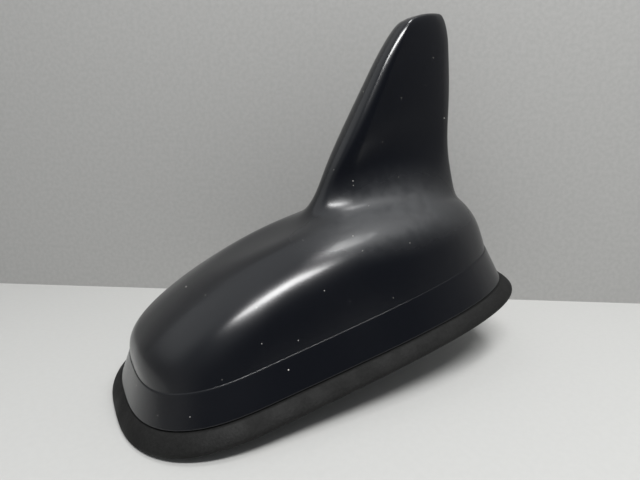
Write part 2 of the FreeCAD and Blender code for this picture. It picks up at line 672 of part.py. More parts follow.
def make_fin_aerial():
    """Upright board in the fin with a folded radiator strip, held by tabs and two brackets."""
    bend = "fin_datum + ( blade_front + fin_ahead - wall - blade_gap ) / lead_lean"
    tab_under = f"{BOARD_UNDER} - tab_proud"
    front_tab = ("blade_front + tab_inset", "blade_front + tab_inset + tab_width")
    rear_tab = ("blade_back - tab_inset - tab_width", "blade_back - tab_inset")
    corners = [("blade_front", BOARD_TOP)]
    for start, end in (front_tab, rear_tab):
        corners += [(start, BOARD_TOP), (start, tab_under), (end, tab_under), (end, BOARD_TOP)]
    corners += [("blade_back", BOARD_TOP), ("blade_back", "blade_top"),
                (lead_wall_x("blade_top"), "blade_top"), ("blade_front", bend)]
    board = plate("fin_board", corners, "blade_thickness", midplane=True)

    left = "blade_front + foil_margin"
    right = "blade_back - foil_margin"
    low = f"{BOARD_TOP} + bracket_leg + foil_margin"
    high = "blade_top - foil_margin"
    top_left = f"{lead_wall_x('blade_top')} + foil_margin"
    foil = plate("fin_radiator",
                 [(left, low), (f"{left} + foil_strip", low), (f"{left} + foil_strip", bend),
                  (f"{top_left} + foil_strip", f"{high} - foil_strip"),
                  (f"{right} - foil_strip", f"{high} - foil_strip"),
                  (f"{right} - foil_strip", bend), (right, bend), (right, high), (top_left, high),
                  (left, bend)],
                 "foil_thickness", y="0 - blade_thickness / 2")

    brackets = []
    for name, x in TABS:
        base = box(f"bracket_base_{name}", "bracket_width", "bracket_leg", "bracket_sheet", x,
                   "blade_thickness / 2 + bracket_leg / 2", BOARD_TOP)
        back = box(f"bracket_back_{name}", "bracket_width", "bracket_sheet", "bracket_leg", x,
                   "blade_thickness / 2 + bracket_sheet / 2", BOARD_TOP)
        brackets.append(fuse(f"bracket_{name}", base, back))
    return [board, foil, group("fin_brackets", *brackets)]


nodes = [make_housing(), make_gasket(), make_base_plate(), *make_seals(), *make_screws(), make_main_board(),
         make_ground_springs(), *make_patch(), *make_shield(), *make_board_parts(), *make_fin_aerial()]
doc.recompute()

for item in doc.Objects:
    if "Invalid" in item.State or "Error" in item.State:
        raise RuntimeError(f"{item.Name} failed: {item.State}")
for node in nodes:
    if node.Shape.isNull() or not node.Shape.isValid():
        raise RuntimeError(f"{node.Label} has no valid shape")

os.makedirs("parts", exist_ok=True)
for node in nodes:
    node.Shape.exportStep(f"parts/{node.Label}.step")
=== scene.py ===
"""Looks of the car roof antenna: smooth housing and gasket meshes, finishes, stage and camera."""
import json
import math

import bpy
import numpy as np
from bpy.props import FloatProperty, FloatVectorProperty, IntProperty, PointerProperty
from mathutils import Matrix, Vector


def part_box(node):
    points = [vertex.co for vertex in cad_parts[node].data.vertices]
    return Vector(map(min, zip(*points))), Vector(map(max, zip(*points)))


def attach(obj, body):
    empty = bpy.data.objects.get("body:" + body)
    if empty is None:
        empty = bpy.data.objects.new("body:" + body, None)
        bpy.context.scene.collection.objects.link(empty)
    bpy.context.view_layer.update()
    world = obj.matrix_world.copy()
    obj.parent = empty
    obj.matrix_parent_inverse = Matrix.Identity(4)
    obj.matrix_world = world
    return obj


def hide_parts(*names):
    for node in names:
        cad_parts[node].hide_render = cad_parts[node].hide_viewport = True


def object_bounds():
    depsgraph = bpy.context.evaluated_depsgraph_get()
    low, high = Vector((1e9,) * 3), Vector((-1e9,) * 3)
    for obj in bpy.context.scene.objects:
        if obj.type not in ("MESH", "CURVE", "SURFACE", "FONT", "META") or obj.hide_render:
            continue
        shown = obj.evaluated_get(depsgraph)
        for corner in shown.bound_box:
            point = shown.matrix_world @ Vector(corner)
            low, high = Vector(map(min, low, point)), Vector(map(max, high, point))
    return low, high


bl_info = {
    "name": "Roof antenna looks",
    "version": (1, 0, 0),
    "blender": (4, 5, 0),
    "location": "View3D > Sidebar > Antenna",
    "description": "Dresses the packed roof antenna with smooth meshes, finishes and a small studio",
    "category": "Object",
}

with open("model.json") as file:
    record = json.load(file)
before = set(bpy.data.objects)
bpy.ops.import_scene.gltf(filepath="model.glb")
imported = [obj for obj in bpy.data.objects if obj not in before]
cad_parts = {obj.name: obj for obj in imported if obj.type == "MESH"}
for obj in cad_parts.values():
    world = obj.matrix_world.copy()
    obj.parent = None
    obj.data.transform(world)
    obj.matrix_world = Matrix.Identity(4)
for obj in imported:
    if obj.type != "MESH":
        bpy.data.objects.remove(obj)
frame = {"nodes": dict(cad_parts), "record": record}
CAD_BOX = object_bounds()
GASKET_LOW, GASKET_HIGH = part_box("base_gasket")
PLATE_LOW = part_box("base_plate")[0]
STEM = next(mount for mount in frame["record"]["mounts"] if mount["name"] == "roof_stem")
STEM_RADIUS = STEM["dims"]["r_mm"] / 1000
MM = 0.001
SHOULDER_ANGLES = np.radians((0, 18, 38, 58, 76))
BLEND_ANGLES = np.radians((62, 90))
TIP_ANGLES = np.radians((25, 48, 68, 82))
SKIRT_SHARES = (0.015, 0.04, 0.1, 0.3, 0.55, 0.8, 0.94, 0.975)
CREASE_SHARE = 0.03


def length(name, description, millimetres):
    """Length property whose default is given in millimetres."""
    return FloatProperty(name=name, description=description, default=millimetres * MM,
                         unit="LENGTH", precision=5)


def ratio(name, description, value):
    """Plain number property."""
    return FloatProperty(name=name, description=description, default=value)


def colour(name, description, value):
    """Colour property with a linear default."""
    return FloatVectorProperty(name=name, description=description, default=value, subtype="COLOR",
                               size=3, min=0.0, max=1.0)


class OutlineShape(bpy.types.PropertyGroup):
    """Plan of the antenna at the roof."""
    nose_reach: length("Nose reach", "Stem axis to the gasket's front edge", -GASKET_LOW.x / MM)
    tail_reach: length("Tail reach", "Stem axis to the gasket's rear edge", GASKET_HIGH.x / MM)
    half_width: length("Half width", "Half of the gasket's greatest width", 31.5)
    widest_ahead: length("Widest ahead", "Stem axis forward to the widest place", 47.3)
    nose_power: ratio("Nose power", "Roundness of the outline's front half", 2.74)
    tail_power: ratio("Tail power", "Roundness of the outline's rear half", 3.6)


class GasketShape(bpy.types.PropertyGroup):
    """Section of the rubber gasket."""
    lip_height: length("Lip height", "Top of the flared lip", 3.6)
    lip_edge: length("Lip edge", "Upright edge at the bottom of the lip", 0.8)
    lip_inset: length("Lip inset", "Outer edge to the lip's top edge", 2.7)
    web: length("Web", "Web between roof and base plate", 2.4)
    seat_inset: length("Seat inset", "Outer edge to the base plate's seat", 4.6)
    rib_width: length("Rib width", "Rib that carries the housing's foot", 1.0)
    window_inset: length("Window inset", "Outer edge to the window", 12.0)
    channel_inset: length("Channel inset", "Outer edge to the sealing channel", 3.0)
    channel_width: length("Channel width", "Width of the sealing channel", 5.5)
    channel_depth: length("Channel depth", "Depth of the sealing channel", 0.8)
    bulge: length("Bulge", "Swell of the flared lip's outer face", 0.35)
    edge_round: length("Edge round", "Rounding of the moulded edges", 0.25)


class ThreadShape(bpy.types.PropertyGroup):
    """Thread round the fixing stem."""
    top: length("Top", "Roof plane down to the thread's start", 1.2)
    runout: length("Run-out", "Stem's end up to the thread's end", 0.6)
    pitch: length("Pitch", "Height of one turn", 1.5)
    depth: length("Depth", "Crest of the thread above the stem", 0.22)
    root: length("Root", "Depth to which the thread is sunk into the stem", 0.15)
    foot: length("Foot", "Half width of the thread at the stem", 0.62)
    crest: length("Crest", "Half width of the thread's crest", 0.12)
    segments: IntProperty(name="Segments", description="Sections in one turn", default=72, min=24)


class HousingShape(bpy.types.PropertyGroup):
    """Form of the moulded housing."""
    foot_height: length("Foot height", "Lower edge of the housing", 3.9)
    foot_inset: length("Foot inset", "Gasket's outer edge to the housing's foot", 3.1)
    wall: length("Wall", "Wall of the housing", 2.2)
    ledge_height: length("Ledge height", "Ledge line above the roof at the stem", 12.7)
    ledge_rise: ratio("Ledge rise", "Rise of the ledge line towards the rear", 0.035)
    ledge_inset: length("Ledge inset", "Gasket's outer edge to the ledge line", 6.6)
    ledge_step: length("Ledge step", "Width of the ledge", 0.18)
    ledge_round: length("Ledge round", "Rounding of the ledge's edge", 0.07)
    deck_height: length("Deck height", "Highest place of the hump", 33.95)
    deck_peak_ahead: length("Deck peak", "Stem axis forward to that place", 8.0)
    deck_bow: ratio("Deck bow", "Fall of the deck, per metre squared", 3.4)
    shoulder_power: ratio("Shoulder power", "Roundness of the shoulder", 3.5)
    flank_power: ratio("Flank power", "Power of the flank's climb that its run follows", 3.0)
    flank_lean: ratio("Flank lean", "Lean of the flank just above the ledge", 0.75)
    nose_lean: ratio("Nose lean", "Share of the nose's run that leans", 0.02)
    foot_ahead: length("Fin foot ahead", "Stem axis to the front of the fin's foot", 26.0)
    foot_behind: length("Fin foot behind", "Stem axis to the rear of the fin's foot", 34.0)
    foot_half_width: length("Fin foot half width", "Half width of the fin's foot", 10.0)
    foot_widest_ahead: length("Fin foot widest", "Stem axis to the foot's widest place", 10.0)
    foot_nose_power: ratio("Fin foot nose power", "Roundness of the foot's front", 2.2)
    foot_tail_power: ratio("Fin foot tail power", "Roundness of the foot's rear", 2.3)
    fin_datum: length("Fin datum", "Height at which the fin's edges are placed", 40.0)
    fin_ahead: length("Fin ahead", "Stem axis to the leading edge there", 15.1)
    fin_behind: length("Fin behind", "Stem axis to the trailing edge there", 32.4)
    lead_lean: ratio("Lead lean", "Run of the leading edge per height", 0.771)
    trail_lean: ratio("Trail lean", "Run of the trailing edge per height", 0.092)
    blend_height: length("Blend height", "Height of the blend from deck to fin", 11.0)
    blend_power: ratio("Blend power", "Fullness of the blend at the fin's sides", 2.5)
    fin_root_half: length("Fin root half", "Half thickness above the blend", 5.6)
    fin_tip_half: length("Fin tip half", "Half thickness at the top", 3.6)
    fin_taper: ratio("Fin taper", "Share of thickness lost to the trailing edge", 0.55)
    fin_widest: ratio("Fin widest", "Share of the chord ahead of the thickest place", 0.22)
    fin_nose_power: ratio("Fin nose power", "Roundness of the leading edge", 2.1)
    fin_tail_power: ratio("Fin tail power", "Roundness of the trailing edge", 5.0)
    tip_height: length("Tip height", "Top of the fin at its peak", 82.6)
    tip_behind: length("Tip behind", "Stem axis back to that peak", 28.5)
    tip_bow: ratio("Tip bow", "Fall of the fin's top from its peak, per metre squared", 17.0)
    tip_round: length("Tip round", "Height of the rounding at the top", 9.5)
    tip_nose_round: length("Tip nose round", "Length of that rounding in front", 3.8)
    tip_tail_round: length("Tip tail round", "Length of that rounding behind", 3.3)
    tip_flat: ratio("Tip flat", "Share of the tip's half thickness left as a flat", 0.03)
    tip_bluntness: ratio("Tip bluntness", "How full the tip's rounding is", 0.4)
    around: IntProperty(name="Around", description="Points round each ring", default=192, min=32)
    rows: IntProperty(name="Rows", description="Rows from the ledge to the fin's top", default=150, min=30)


class Finishes(bpy.types.PropertyGroup):
    """Colours of the finishes, the stage and its surroundings."""
    housing: colour("Housing", "Gloss black plastic", (0.0024, 0.0030, 0.0050))
    haze: colour("Haze", "Scuffed plastic", (0.045, 0.047, 0.050))
    rubber: colour("Rubber", "Gasket rubber", (0.0070, 0.0070, 0.0068))
    dust: colour("Dust", "Dust specks", (0.62, 0.60, 0.56))
    zinc: colour("Zinc", "Die-cast base", (0.50, 0.51, 0.52))
    floor: colour("Floor", "Pale floor", (0.55, 0.55, 0.535))
    wall: colour("Wall", "Grey wall", (0.40, 0.397, 0.386))
    backdrop: colour("Backdrop", "Plain background", (0.30, 0.30, 0.295))
    near_side: colour("Near side", "Background on the antenna's left", (0.072, 0.075, 0.083))
    ceiling: colour("Ceiling", "Background high above the near side", (0.26, 0.275, 0.29))
    glow: colour("Glow", "Background overhead", (0.85, 0.87, 0.88))


class StageSettings(bpy.types.PropertyGroup):
    """Camera, floor and wall, as the photograph has them."""
    azimuth: ratio("Azimuth", "Camera direction in degrees", -28.88)
    elevation: ratio("Elevation", "Camera above the floor in degrees", 12.96)
    aside: length("Aside", "Base centre to the right of the view axis", 2.32)
    below: length("Below", "Base centre below the view axis", 25.78)
    distance: length("Distance", "Base centre in front of the lens", 142.31)
    focal_pixels: ratio("Focal length", "Focal length in picture widths", 481 / 640)
    wall_distance: length("Wall distance", "Gasket's front edge to the wall", 91.5)
    wall_height: length("Wall height", "Height of the wall", 240.0)
    wall_turn: ratio("Wall turn", "Turn of the wall in degrees", -34.34)
    floor_radius: length("Floor radius", "Reach of the floor", 620.0)


class Ring:
    """Closed curve round the antenna: two half superellipses on a level that may rise and bow."""

    def __init__(self, nose, tail, half, widest, nose_power, tail_power, taper, level):
        self.values = np.array((nose, tail, half, widest, nose_power, tail_power, taper, *level))

    def mixed(self, other, nose_share, tail_share, plan_share, level_share):
        """Ring between this one and another, with shares of its own for nose, tail, plan and level."""
        shares = np.array((nose_share, tail_share, *[plan_share] * 5, *[level_share] * 3))
        values = self.values + (other.values - self.values) * shares
        return Ring(*values[:7], values[7:])

    def points(self, count):
        """Points of the ring, evenly spread by angle from the tail."""
        nose, tail, half, widest, nose_power, tail_power, taper, height, rise, bow = self.values
        angle = np.linspace(0, 2 * np.pi, count, endpoint=False)
        across, aside = np.abs(np.cos(angle)), np.abs(np.sin(angle))
        ahead = np.cos(angle) < 0
        power = np.where(ahead, nose_power, tail_power)
        radius = (across ** power + aside ** power) ** (-1 / power)
        x = widest + np.where(ahead, nose - widest, tail - widest) * radius * across
        side = half * radius * aside * np.where(ahead, 1, 1 - taper * radius * across)
        return np.column_stack((x, np.sign(np.sin(angle)) * side, height + rise * x + bow * x * x))


def outline(inset, height, rise=0.0):
    """The gasket's outline, set inwards, at a height."""
    plan = bpy.context.scene.antenna_outline
    return Ring(inset - plan.nose_reach, plan.tail_reach - inset, plan.half_width - inset,
                -plan.widest_ahead, plan.nose_power, plan.tail_power, 0, (height, rise, 0))


def edge_at(x_datum, lean, level, datum):
    """Where a leaning edge of the fin meets a level."""
    x = x_datum
    for _ in range(20):
        x = x_datum + lean * (level[0] + level[1] * x + level[2] * x * x - datum)
    return x


def body_rings(start, inset):
    """Rings from a start outline over the shoulder and deck and up the fin, all set inwards."""
    form = bpy.context.scene.antenna_housing
    peak = -form.deck_peak_ahead
    deck = np.array((form.deck_height - inset - form.deck_bow * peak ** 2,
                     2 * form.deck_bow * peak, -form.deck_bow))
    tip = np.array((form.tip_height - inset - form.tip_bow * form.tip_behind ** 2,
                    2 * form.tip_bow * form.tip_behind, -form.tip_bow))
    foot = Ring(inset - form.foot_ahead, form.foot_behind - inset, form.foot_half_width - inset,
                -form.foot_widest_ahead, form.foot_nose_power, form.foot_tail_power, 0, deck)

    def fin(share, shrink=0.0):
        level = deck + (tip - deck) * share
        nose = edge_at(inset - form.fin_ahead, form.lead_lean, level, form.fin_datum)
        tail = edge_at(form.fin_behind - inset, form.trail_lean, level, form.fin_datum)
        nose += form.tip_nose_round * shrink
        tail -= form.tip_tail_round * shrink
        half = form.fin_root_half + (form.fin_tip_half - form.fin_root_half) * share - inset
        half *= max(1 - shrink, form.tip_flat) ** form.tip_bluntness
        return Ring(nose, tail, half, nose + (tail - nose) * form.fin_widest, form.fin_nose_power,
                    form.fin_tail_power, form.fin_taper, level)

    power = 2 / form.shoulder_power
    rings = []
    for angle in SHOULDER_ANGLES:
        bulge = 1 - max(math.cos(angle), 0) ** power
        climb = math.sin(angle) ** power
        run = climb ** form.flank_power
        lead = bulge + (climb - bulge) * form.nose_lean
        rings.append(start.mixed(foot, lead, run, run + form.flank_lean * climb * (1 - climb) ** 2, climb))
    rise = form.tip_height - form.deck_height
    root_share = form.blend_height / rise
    root = fin(root_share)
    lead_share = form.lead_lean * form.blend_height / (root.values[0] - foot.values[0])
    for angle in BLEND_ANGLES:
        climb = 1 - math.cos(angle)
        sweep = math.sin(angle)
        lead = sweep + (climb - sweep) * lead_share
        rings.append(foot.mixed(root, lead, sweep, sweep ** form.blend_power, climb))
    round_share = 1 - form.tip_round / rise
    rings.append(fin((root_share + round_share) / 2))
    rings.append(fin(round_share))
    for angle in TIP_ANGLES:
        rings.append(fin(round_share + (1 - round_share) * math.sin(angle), 1 - math.cos(angle)))
    rings.append(fin(1, 1))
    return rings


def smooth_rows(rings, around, rows):
    """Rows of points on a natural cubic spline through a stack of rings."""
    stack = np.array([ring.points(around) for ring in rings])
    steps = np.linalg.norm(np.diff(stack, axis=0), axis=2).mean(axis=1)
    knots = np.concatenate(((0,), np.cumsum(steps)))
    count = len(knots)
    system = np.eye(count)
    right = np.zeros((count, around * 3))
    flat = stack.reshape(count, -1)
    for k in range(1, count - 1):
        system[k, k - 1:k + 2] = steps[k - 1], 2 * (steps[k - 1] + steps[k]), steps[k]
        right[k] = 6 * ((flat[k + 1] - flat[k]) / steps[k] - (flat[k] - flat[k - 1]) / steps[k - 1])
    bend = np.linalg.solve(system, right)
    at = np.linspace(0, knots[-1], rows)
    span = np.clip(np.searchsorted(knots, at, side="right") - 1, 0, count - 2)
    gap = steps[span][:, None]
    low = (knots[span + 1] - at)[:, None]
    high = (at - knots[span])[:, None]
    result = ((bend[span] * low ** 3 + bend[span + 1] * high ** 3) / (6 * gap)
              + (flat[span] / gap - bend[span] * gap / 6) * low
              + (flat[span + 1] / gap - bend[span + 1] * gap / 6) * high)
    return list(result.reshape(rows, around, 3))


def tube_mesh(name, rows, closed):
    """Mesh of quads over rows of points; its ends are joined or capped."""
    around = len(rows[0])
    vertices = np.concatenate(rows)
    faces = []
    last = len(rows) if closed else len(rows) - 1
    for r in range(last):
        here, there = r * around, (r + 1) % len(rows) * around
        for k in range(around):
            n = (k + 1) % around
            faces.append((here + k, here + n, there + n, there + k))
    if not closed:
        faces.append(tuple(range(around - 1, -1, -1)))
        faces.append(tuple(range((len(rows) - 1) * around, len(rows) * around)))
    mesh = bpy.data.meshes.new(name)
    mesh.from_pydata(vertices.tolist(), [], faces)
    mesh.validate()
    for polygon in mesh.polygons:
        polygon.use_smooth = True
    piece = bpy.data.objects.new(name, mesh)
    bpy.context.collection.objects.link(piece)
    return piece


def flat_mesh(name, points):
    """One flat face through a ring of points."""
    mesh = bpy.data.meshes.new(name)
    mesh.from_pydata(points.tolist(), [], [tuple(range(len(points)))])
    piece = bpy.data.objects.new(name, mesh)
    bpy.context.collection.objects.link(piece)
    return piece


def dress(piece, material, node):
    """Let a piece stand for a node, with its finish."""
    piece.data.materials.append(material)
    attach(piece, "root")
    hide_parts(node)


class Finish:
    """Material under construction, with short calls for its nodes."""

    def __init__(self, name):
        self.material = bpy.data.materials.new(name)
        self.material.use_nodes = True
        self.tree = self.material.node_tree
        self.shader = self.tree.nodes["Principled BSDF"]
        self.place = self.add("ShaderNodeTexCoord").outputs["Object"]

    def add(self, kind, **settings):
        node = self.tree.nodes.new(kind)
        for key, value in settings.items():
            setattr(node, key, value)
        return node

    def link(self, source, target):
        self.tree.links.new(source, target)

    def stretched(self, scale, rotation=(0, 0, 0)):
        mapping = self.add("ShaderNodeMapping")
        mapping.inputs["Scale"].default_value = scale
        mapping.inputs["Rotation"].default_value = rotation
        self.link(self.place, mapping.inputs["Vector"])
        return mapping.outputs["Vector"]

    def noise(self, scale, detail=2.0, vector=None):
        node = self.add("ShaderNodeTexNoise")
        node.inputs["Scale"].default_value = scale
        node.inputs["Detail"].default_value = detail
        self.link(vector or self.place, node.inputs["Vector"])
        return node.outputs["Fac"]

    def ranged(self, value, low, high, to_low=0.0, to_high=1.0, smooth=True):
        node = self.add("ShaderNodeMapRange", interpolation_type="SMOOTHSTEP" if smooth else "LINEAR")
        limits = {"From Min": low, "From Max": high, "To Min": to_low, "To Max": to_high}
        for socket, number in limits.items():
            node.inputs[socket].default_value = number
        self.link(value, node.inputs["Value"])
        return node.outputs["Result"]

    def maths(self, operation, first, second):
        node = self.add("ShaderNodeMath", operation=operation)
        for socket, value in zip(node.inputs, (first, second)):
            if isinstance(value, (int, float)):
                socket.default_value = value
            else:
                self.link(value, socket)
        return node.outputs["Value"]

    def blend(self, share, first, second):
        node = self.add("ShaderNodeMix", data_type="RGBA")
        self.link(share, node.inputs["Factor"])
        for socket, value in ((node.inputs["A"], first), (node.inputs["B"], second)):
            if hasattr(value, "is_output"):
                self.link(value, socket)
            else:
                socket.default_value = (*value, 1.0)
        return node.outputs["Result"]

    def bump(self, height, strength, distance):
        node = self.add("ShaderNodeBump")
        node.inputs["Strength"].default_value = strength
        node.inputs["Distance"].default_value = distance
        self.link(height, node.inputs["Height"])
        return node.outputs["Normal"]

    def specks(self, per_metre, radius, share):
        """Small round specks: the middle of some cells of a cell pattern."""
        cells = self.add("ShaderNodeTexVoronoi", feature="F1")
        cells.inputs["Scale"].default_value = per_metre
        self.link(self.place, cells.inputs["Vector"])
        edge = radius * per_metre
        near = self.ranged(cells.outputs["Distance"], edge * 0.6, edge, 1.0, 0.0)
        split = self.add("ShaderNodeSeparateColor")
        self.link(cells.outputs["Color"], split.inputs["Color"])
        chosen = self.ranged(split.outputs["Red"], 1 - share, 1 - share + 0.01)
        return self.maths("MULTIPLY", near, chosen)

    def near(self, centre, reach):
        """1 at a place of the object and 0 beyond its reach along each axis."""
        shifted = self.add("ShaderNodeVectorMath", operation="SUBTRACT")
        self.link(self.place, shifted.inputs[0])
        shifted.inputs[1].default_value = centre
        scaled = self.add("ShaderNodeVectorMath", operation="DIVIDE")
        self.link(shifted.outputs[0], scaled.inputs[0])
        scaled.inputs[1].default_value = reach
        size = self.add("ShaderNodeVectorMath", operation="LENGTH")
        self.link(scaled.outputs[0], size.inputs[0])
        return self.ranged(size.outputs["Value"], 0.1, 1.1, 1.0, 0.0)


def gloss_plastic():
    """Aged gloss black: sharp reflections over a soft haze, fine scratches, a scuffed patch and dust."""
    tint = bpy.context.scene.antenna_finishes
    finish = Finish("housing_gloss_black")
    patch = finish.near((0.004, -0.013, 0.034), (0.036, 0.014, 0.014))
    cloud = finish.ranged(finish.noise(330, 8), 0.25, 0.75, 0.6, 1.0)
    scuff = finish.maths("MULTIPLY", patch, cloud)
    hairs = finish.noise(1.0, 2, finish.stretched((120, 3000, 2200), (0.15, 0.1, 0.55)))
    scratch = finish.maths("MULTIPLY", finish.ranged(hairs, 0.60, 0.66), finish.maths("POWER", patch, 2))
    wear = finish.maths("MAXIMUM", scuff, scratch)
    dust = finish.maths("MAXIMUM", finish.specks(220, 0.00020, 0.30), finish.specks(500, 0.00011, 0.25))
    base = finish.blend(wear, tint.housing, tint.haze)
    finish.link(finish.blend(dust, base, tint.dust), finish.shader.inputs["Base Color"])
    rough = finish.ranged(finish.noise(35, 3), 0.3, 0.7, 0.15, 0.21)
    split = finish.add("ShaderNodeSeparateXYZ")
    finish.link(finish.place, split.inputs["Vector"])
    hump = finish.ranged(split.outputs["Z"], 0.030, 0.046, 0.06, 0.0)
    rough = finish.maths("ADD", rough, finish.maths("MULTIPLY", wear, 0.40))
    rough = finish.maths("ADD", rough, hump)
    rough = finish.maths("MAXIMUM", rough, finish.maths("MULTIPLY", dust, 0.8))
    finish.link(rough, finish.shader.inputs["Roughness"])
    finish.link(finish.bump(finish.noise(420, 2), 0.05, 0.0002), finish.shader.inputs["Normal"])
    finish.shader.inputs["Specular IOR Level"].default_value = 0.5
    finish.link(finish.ranged(wear, 0.0, 1.0, 0.15, 0.0), finish.shader.inputs["Coat Weight"])
    finish.shader.inputs["Coat Roughness"].default_value = 0.11
    return finish.material


def matte_rubber():
    """Moulded rubber with a fine grain, a grey bloom and dust."""
    tint = bpy.context.scene.antenna_finishes
    finish = Finish("gasket_matte_rubber")
    bloom = finish.ranged(finish.noise(70, 5), 0.35, 0.75, 0.0, 0.4)
    dust = finish.maths("MAXIMUM", finish.specks(240, 0.00014, 0.2), finish.specks(700, 0.00006, 0.15))
    grain = finish.ranged(finish.noise(1500, 4), 0.35, 0.65, 0.0, 0.5)
    bloom = finish.maths("ADD", bloom, grain)
    base = finish.blend(bloom, tint.rubber, [c * 1.9 for c in tint.rubber])
    finish.link(finish.blend(dust, base, tint.dust), finish.shader.inputs["Base Color"])
    rough = finish.ranged(finish.noise(160, 3), 0.3, 0.7, 0.62, 0.82)
    finish.link(rough, finish.shader.inputs["Roughness"])
    finish.link(finish.bump(finish.noise(1900, 3), 0.55, 0.0002), finish.shader.inputs["Normal"])
    finish.shader.inputs["Specular IOR Level"].default_value = 0.2
    return finish.material


def die_cast():
    """Die-cast zinc with a grainy, lightly stained skin."""
    tint = bpy.context.scene.antenna_finishes
    finish = Finish("base_die_cast")
    finish.shader.inputs["Metallic"].default_value = 1.0
    stain = finish.ranged(finish.noise(120, 4), 0.35, 0.7)
    base = finish.blend(stain, tint.zinc, [c * 0.72 for c in tint.zinc])
    finish.link(base, finish.shader.inputs["Base Color"])
    rough = finish.ranged(finish.noise(300, 3), 0.3, 0.7, 0.38, 0.58)
    finish.link(rough, finish.shader.inputs["Roughness"])
    finish.link(finish.bump(finish.noise(1800, 3), 0.3, 0.0002), finish.shader.inputs["Normal"])
    return finish.material


def worked(name, shade, metal, rough, grain):
    """Finish of a small inner piece: its colour with mottling, and a grain in gloss and height."""
    finish = Finish(name)
    finish.shader.inputs["Metallic"].default_value = metal
    mottle = finish.ranged(finish.noise(grain, 4), 0.3, 0.7)
    finish.link(finish.blend(mottle, shade, [c * 0.75 for c in shade]), finish.shader.inputs["Base Color"])
    finish.link(finish.ranged(finish.noise(grain * 3, 2), 0.3, 0.7, rough * 0.8, rough * 1.2),
                finish.shader.inputs["Roughness"])
    finish.link(finish.bump(finish.noise(grain * 5, 2), 0.2, 0.0001), finish.shader.inputs["Normal"])
    return finish.material


INNER_FINISHES = {
    "seal_rubber": ((0.02, 0.02, 0.02), 0.0, 0.7, 500, ("rim_seal", "stem_seal", "cable_grommet")),
    "plated_steel": ((0.55, 0.55, 0.54), 1.0, 0.3, 400,
                     ("cover_screws", "board_screws", "ground_springs", "shield_frame", "shield_lid",
                      "fin_brackets")),
    "board_lacquer": ((0.02, 0.12, 0.05), 0.0, 0.35, 250, ("main_board", "fin_board")),
    "foam_tape": ((0.75, 0.75, 0.72), 0.0, 0.9, 900, ("patch_pad",)),
    "fired_ceramic": ((0.55, 0.46, 0.34), 0.0, 0.5, 600, ("patch_ceramic", "filter_blocks")),
    "silvered": ((0.8, 0.79, 0.76), 1.0, 0.25, 500,
                 ("patch_electrode", "patch_feed_pin", "lead_terminals")),
    "copper_foil": ((0.72, 0.36, 0.2), 1.0, 0.35, 400, ("fin_radiator",)),
    "chip_moulding": ((0.02, 0.02, 0.02), 0.0, 0.6, 900, ("amplifier_chips",)),
}


def corner(before, at, after, radius, steps=3):
    """Points of a rounded corner in a section of (inset, height) points."""
    a, b, c = (np.array(p, float) for p in (before, at, after))
    start = b + (a - b) / np.linalg.norm(a - b) * min(radius, np.linalg.norm(a - b) * 0.45)
    end = b + (c - b) / np.linalg.norm(c - b) * min(radius, np.linalg.norm(c - b) * 0.45)
    return [tuple((1 - t) ** 2 * start + 2 * t * (1 - t) * b + t * t * end)
            for t in np.linspace(0, 1, steps + 1)]


class ANTENNA_OT_housing(bpy.types.Operator):
    """Moulded housing: skirt, ledge, hump and fin as one smooth shell"""
    bl_idname = "antenna.housing"
    bl_label = "Housing"

    def execute(self, context):
        form = context.scene.antenna_housing
        around = form.around
        level = (form.ledge_height, form.ledge_rise)
        out, step = form.ledge_inset - form.ledge_step / 2, form.ledge_inset + form.ledge_step / 2
        round_ = form.ledge_round
        foot = outline(form.foot_inset, form.foot_height)
        edge = outline(out, *level)
        neck = outline(form.ledge_inset + form.wall, *level)
        rows = smooth_rows(body_rings(neck, form.wall), around, form.rows // 2)[::-1]
        rows += [outline(form.foot_inset + form.wall, form.foot_height).points(around),
                 outline(form.foot_inset + 2 * round_, form.foot_height).points(around)]
        for share in SKIRT_SHARES:
            rows.append(foot.mixed(edge, share, share, share, share).points(around))
        for share in (0.25, 0.6, 1.0):
            height = level[0] - round_ * (1 - share) ** 2
            rows.append(outline(out + round_ * share, height, level[1]).points(around))
        rows.append(outline(step - round_ * 0.3, *level).points(around))
        start, *upper = smooth_rows(body_rings(outline(step, *level), 0.0), around, form.rows)
        rows += [start, start + (upper[0] - start) * CREASE_SHARE, *upper]
        piece = tube_mesh("housing_shell", rows, False)
        dress(piece, gloss_plastic(), "housing")
        return {"FINISHED"}


class ANTENNA_OT_gasket(bpy.types.Operator):
    """Flared rubber gasket, swept round the outline"""
    bl_idname = "antenna.gasket"
    bl_label = "Gasket"

    def execute(self, context):
        form = context.scene.antenna_gasket
        housing = context.scene.antenna_housing
        channel_end = form.channel_inset + form.channel_width
        rib = form.seat_inset - form.rib_width
        section = [(form.window_inset, 0), (channel_end, 0), (channel_end, form.channel_depth),
                   (form.channel_inset, form.channel_depth), (form.channel_inset, 0),
                   (0, 0), (0, form.lip_edge)]
        rise = form.lip_height - form.lip_edge
        for share in (0.2, 0.4, 0.6, 0.8):
            swell = form.bulge * 4 * share * (1 - share)
            section.append((form.lip_inset * share - swell, form.lip_edge + rise * share))
        section += [(form.lip_inset, form.lip_height), (rib, form.lip_height), (rib, housing.foot_height),
                    (form.seat_inset, housing.foot_height), (form.seat_inset, form.web),
                    (form.window_inset, form.web)]
        count = len(section)
        rounded = []
        for k, point in enumerate(section):
            rounded += corner(section[k - 1], point, section[(k + 1) % count], form.edge_round)
        rows = [outline(inset, height).points(housing.around) for inset, height in rounded]
        piece = tube_mesh("gasket_skirt", rows, True)
        dress(piece, matte_rubber(), "base_gasket")
        return {"FINISHED"}


